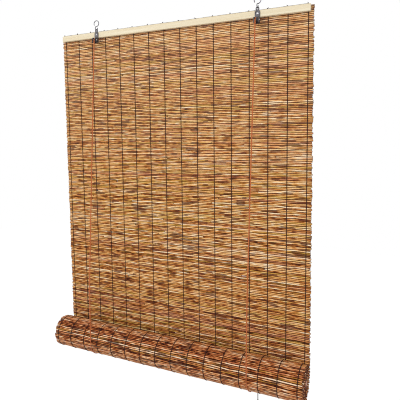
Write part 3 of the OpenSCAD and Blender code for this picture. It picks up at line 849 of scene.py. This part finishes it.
# ends of the warp threads: over the front batten to a knot, and a thread from knot to knot
warpEnds = {
    "overBatten": ((0.01185, -0.0015), (0.01105, 0.0004), (0.008, 0.0007)),  # y, and height above the batten
    "battenSteps": 5, "behindKnot": 0.001, "atKnot": 0.0008,
    "knotY": 0.0045, "knotWidth": 0.0044, "knotHeight": 0.0034, "knotSink": 0.0002, "knotLean": 0.3,
    "tail": 0.005, "tailSteps": 4, "tailAside": 0.6, "tailAhead": -0.4, "tailRise": (0.3, 0.8),
    "tailDroop": (0.2, 0, -0.2), "seed": 5,
}
tieRope = {"radius": 0.0007, "plies": 2, "lay": 0.004, "depth": 0.15, "sides": 6}
binding = {"steps": 24, "sway": 0.0006, "waves": 9, "waveShift": 20, "above": 0.0001}
rng = random.Random(warpEnds["seed"])
bm = bmesh.new()
top = blind["battenTop"]
for x in warpPlaces:
    overBatten = [Vector((x, y, top + rise)) for y, rise in warpEnds["overBatten"]]
    overBatten.append(Vector((x, warpEnds["knotY"] + warpEnds["behindKnot"], top + warpEnds["atKnot"])))
    layRope(bm, smoothLine(overBatten, warpEnds["battenSteps"]), tieRope)
    centre = Vector((x, warpEnds["knotY"], top + warpEnds["knotHeight"] / 2 - warpEnds["knotSink"]))
    lean = rng.uniform(-warpEnds["knotLean"], warpEnds["knotLean"])
    layKnot(bm, centre, warpEnds["knotWidth"], warpEnds["knotHeight"], tieRope, lean)
    aside = rng.uniform(-warpEnds["tailAside"], warpEnds["tailAside"])
    away = Vector((aside, warpEnds["tailAhead"], rng.uniform(*warpEnds["tailRise"]))).normalized()
    tailEnd = centre + (away + Vector(warpEnds["tailDroop"])) * warpEnds["tail"]
    tail = [centre, centre + away * 0.5 * warpEnds["tail"], tailEnd]
    layRope(bm, smoothLine(tail, warpEnds["tailSteps"]), tieRope)
fit(newPiece("warpTies", bm, warpThread), "headrail", "warp_thread", "warp_ties")
bm = bmesh.new()
for a, b in zip(warpPlaces, warpPlaces[1:]):
    line = []
    for k in range(binding["steps"] + 1):
        t = k / binding["steps"]
        wave = math.sin(binding["waves"] * t + binding["waveShift"] * a)
        sway = math.sin(math.pi * t) * binding["sway"] * wave
        z = top + tieRope["radius"] + binding["above"]
        line.append(Vector((a + (b - a) * t, warpEnds["knotY"] - sway, z)))
    layRope(bm, line, tieRope)
fit(newPiece("bindingThread", bm, warpThread), "headrail", "warp_thread", "binding_thread")
print("warp ends tied")


# lift cords: behind the mat, under the roll, up the front, over the pulleys to the pull cord
liftRun = {
    "rearX": 0.2918, "wheelX": 0.2882, "rearTop": (0.0225, -0.037), "slingLift": 0.0044, "rearTurn": 1.75186,
    "frontTurn": 177.43, "frontDrift": 0.006, "frontSteps": 12, "slingTrim": 0.32, "slingSteps": 90,
    "wheel": (-0.0096, -0.06715), "wrapRadius": 0.0067, "wrapSteps": 10, "cordZ": -0.06045,
    "bend": 0.006, "bendY": 0.0188, "bendSteps": 8, "leftStrandX": 0.284, "strandEnd": -0.07645,
    "strandStep": 0.0004,
}


def underRoll(side, degrees):
    # the cord lies on the outer turn of the roll, and nearer the middle of the blind in front
    turn = blind["lean"] - math.radians(degrees) + 2 * math.pi
    drift = liftRun["frontDrift"] * turn / math.pi
    place = spiralSeat(turn, liftRun["slingLift"])[0]
    return Vector((side * (liftRun["rearX"] - drift), *place))


def overPulley(x):
    wrap = arcAcross(x, liftRun["wheel"], liftRun["wrapRadius"], liftRun["frontTurn"], 90,
                     liftRun["wrapSteps"])
    return wrap + [Vector((x, liftRun["bendY"], liftRun["cordZ"]))]


def overRaisedRoll(head, foot, length):
    # the line a cord takes over the front of the raised roll, drawn out again to its length at rest
    up = Vector(liftAxis)
    centre = Vector((foot.x, *blind["rollAxis"])) + up * blind["lift"]
    spoke, toHead = foot + up * blind["lift"] - centre, head - centre
    footTurn = math.atan2(spoke.z, spoke.y)
    touchTurn = math.atan2(toHead.z, toHead.y) + math.acos(spoke.length / math.hypot(toHead.y, toHead.z))
    room = length - blind["lift"]
    line = [head]
    for i in range(liftRun["frontSteps"] + 1):
        turn = touchTurn + (footTurn - touchTurn) * i / liftRun["frontSteps"]
        raised = centre + spoke.length * Vector((0, math.cos(turn), math.sin(turn)))
        fall = (head - raised).dot(up)
        place = raised - up * fall * blind["lift"] / room
        place.x = head.x + (foot.x - head.x) * fall / room
        line.append(place)
    return line


def quarter(centre, fromAxis, toAxis):
    # a bend of the cord from one direction into another
    turns = [math.pi / 2 * i / liftRun["bendSteps"] for i in range(1, liftRun["bendSteps"] + 1)]
    return [centre + liftRun["bend"] * (fromAxis * math.cos(t) + toAxis * math.sin(t)) for t in turns]


right, back, upward = Vector((1, 0, 0)), Vector((0, 1, 0)), Vector((0, 0, 1))
for sideName, side in (("left", -1), ("right", 1)):
    rearX, wheelX = side * liftRun["rearX"], side * liftRun["wheelX"]
    rearHead = Vector((rearX, *liftRun["rearTop"]))
    rearFoot = underRoll(side, 360 + liftRun["rearTurn"])
    frontFoot = underRoll(side, liftRun["frontTurn"])
    frontHead = overPulley(wheelX)[0]
    for kind, topPoint, foot in (("rear", rearHead, rearFoot), ("front", frontHead, frontFoot)):
        length = (topPoint - foot).dot(Vector(liftAxis))
        line, rope = [topPoint, foot], liftRope
        if kind == "front":
            line, rope = overRaisedRoll(topPoint, foot, length), frontRope
        cord = ropePiece(sideName + kind.capitalize() + "LiftCord", line, rope, liftCord)
        fit(cord, "headrail", "lift_cord", sideName + "_" + kind + "_lift_cord")
        followLift(cord)
    first = liftRun["frontTurn"] + liftRun["slingTrim"]
    last = 360 + liftRun["rearTurn"] - liftRun["slingTrim"]
    steps = liftRun["slingSteps"]
    line = [underRoll(side, first + (last - first) * i / steps) for i in range(steps + 1)]
    sling = ropePiece(sideName + "RollSling", line, liftRope, liftCord)
    fit(sling, "sling", "lift_cord", sideName + "_roll_sling")
    line = overPulley(wheelX)
    start = Vector((wheelX, liftRun["bendY"], liftRun["cordZ"]))
    if side < 0:
        line += quarter(start + right * liftRun["bend"], -right, back)
        turnX, turnY = liftRun["leftStrandX"] - liftRun["bend"], liftRun["bendY"] + liftRun["bend"]
        turnAt = Vector((turnX, turnY, liftRun["cordZ"]))
        line += [turnAt] + quarter(turnAt - upward * liftRun["bend"], upward, right)
    else:
        line += quarter(start - upward * liftRun["bend"], upward, back)
    headCord = ropePiece(sideName + "HeadCord", line, liftRope, liftCord)
    fit(headCord, "headrail", "lift_cord", sideName + "_head_cord")
    strandTop = line[-1]
    strandFoot = Vector((strandTop.x, strandTop.y, liftRun["strandEnd"]))
    bm = bmesh.new()
    layRope(bm, spaced([strandTop, strandFoot], liftRun["strandStep"]), liftRope)
    strand = newPiece(sideName + "PullStrand", bm, liftCord)
    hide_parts(sideName + "_pull_strand")
    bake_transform(strand, "headrail", "pull", start=tuple(strandTop), end=tuple(strandFoot))

# each winding has its rise, width, height and lean
rearKnots = {"above": 0.0026, "windings": [(0.0, 0.0078, 0.0054, 0.0), (0.0008, 0.006, 0.005, 1.3)]}
bm = bmesh.new()
for side in (-1, 1):
    for rise, width, height, lean in rearKnots["windings"]:
        z = blind["battenTop"] + rearKnots["above"] + rise
        centre = (side * liftRun["rearX"], liftRun["rearTop"][0], z)
        layKnot(bm, centre, width, height, liftRope, lean)
fit(newPiece("rearCordKnots", bm, liftCord), "headrail", "lift_cord", "rear_cord_knots")
print("lift cords laid")


# fittings and wood keep their own solids, with eased edges and a finish
fittings = {
    "front_batten": (pine, 0.0005), "rear_batten": (stainedWood, 0.0005),
    "bottom_pole": (stainedWood, 0.0006), "pull_knob": (turnedWood, 0.0004),
    "left_hanger_plate": (gunmetal, 0.00025), "right_hanger_plate": (gunmetal, 0.00025),
    "left_pulley": (darkWheel, 0.0003), "right_pulley": (darkWheel, 0.0003),
    "left_s_hook": (wire, 0), "right_s_hook": (wire, 0),
    "hanger_screws": (steel, 0.00015), "left_axle_pin": (steel, 0.0002), "right_axle_pin": (steel, 0.0002),
    "screw_eye": (steel, 0),
}
easing = {"weld": 0.00001, "segments": 2, "angle": math.radians(35)}


def easeEdges(node, width):
    weld = node.modifiers.new("weld", "WELD")
    weld.merge_threshold = easing["weld"]
    if width:
        edge = node.modifiers.new("easedEdges", "BEVEL")
        edge.width, edge.segments = width, easing["segments"]
        edge.limit_method, edge.angle_limit = "ANGLE", easing["angle"]
        edge.harden_normals = True


for name, (finish, width) in fittings.items():
    node = nodes[name]
    node.data.materials.clear()
    node.data.materials.append(finish)
    if "custom_normal" in node.data.attributes:
        node.data.attributes.remove(node.data.attributes["custom_normal"])
    node.data.shade_smooth()
    easeEdges(node, width)
print("fittings finished")


# floor, sky and soft lamps
studio = {
    "floorZ": -3.4, "floorSize": 24, "floorCells": 4, "floorColour": shade(244, 244, 243), "floorRough": 0.9,
    "floorGlow": 1.14, "glowShare": 0.82, "skyLight": 0.65, "aim": (0, 0, -0.6),
    "key": {"place": (-1.3, -2.6, 1.1), "size": 2.4, "watts": 48.5},
    "fill": {"place": (2.4, -1.9, 0.2), "size": 2.2, "watts": 22},
}


def whiteForCamera(tree, strength):
    # the camera and reflections see plain white, while the light itself stays soft
    path = addNode(tree, "ShaderNodeLightPath")
    seen = mathNode(tree, "ADD", path.outputs["Is Camera Ray"], path.outputs["Is Glossy Ray"], clamp=True)
    seen = mathNode(tree, "ADD", seen, path.outputs["Is Transmission Ray"], clamp=True)
    return mathNode(tree, "MULTIPLY", seen, strength)


bm = bmesh.new()
bmesh.ops.create_grid(bm, x_segments=studio["floorCells"], y_segments=studio["floorCells"],
                      size=studio["floorSize"] / 2, matrix=Matrix.Translation((0, 0, studio["floorZ"])))
material, tree, shader = startMaterial("paleFloor")
shader.inputs["Base Color"].default_value = studio["floorColour"]
shader.inputs["Roughness"].default_value = studio["floorRough"]
glow = addNode(tree, "ShaderNodeEmission", Strength=studio["floorGlow"])
cover = addNode(tree, "ShaderNodeMixShader")
tree.links.new(whiteForCamera(tree, studio["glowShare"]), cover.inputs[0])
tree.links.new(shader.outputs[0], cover.inputs[1])
tree.links.new(glow.outputs[0], cover.inputs[2])
tree.links.new(cover.outputs[0], tree.nodes["Material Output"].inputs["Surface"])
floor = newPiece("studioFloor", bm, material)

world = bpy.data.worlds.new("softStudio")
scene.world = world
world.use_nodes = True
tree = world.node_tree
sky = tree.nodes["Background"]
sky.inputs["Color"].default_value = (1, 1, 1, 1)
seen = whiteForCamera(tree, 1 - studio["skyLight"])
tree.links.new(mathNode(tree, "ADD", seen, studio["skyLight"]), sky.inputs["Strength"])
for name in ("key", "fill"):
    lamp = bpy.data.lights.new(name + "Lamp", "AREA")
    lamp.shape, lamp.size, lamp.energy = "SQUARE", studio[name]["size"], studio[name]["watts"]
    holder = bpy.data.objects.new(name + "Lamp", lamp)
    scene.collection.objects.link(holder)
    place = Vector(studio[name]["place"])
    holder.location = place
    holder.rotation_euler = (Vector(studio["aim"]) - place).to_track_quat("-Z", "Y").to_euler()
print("studio lit")
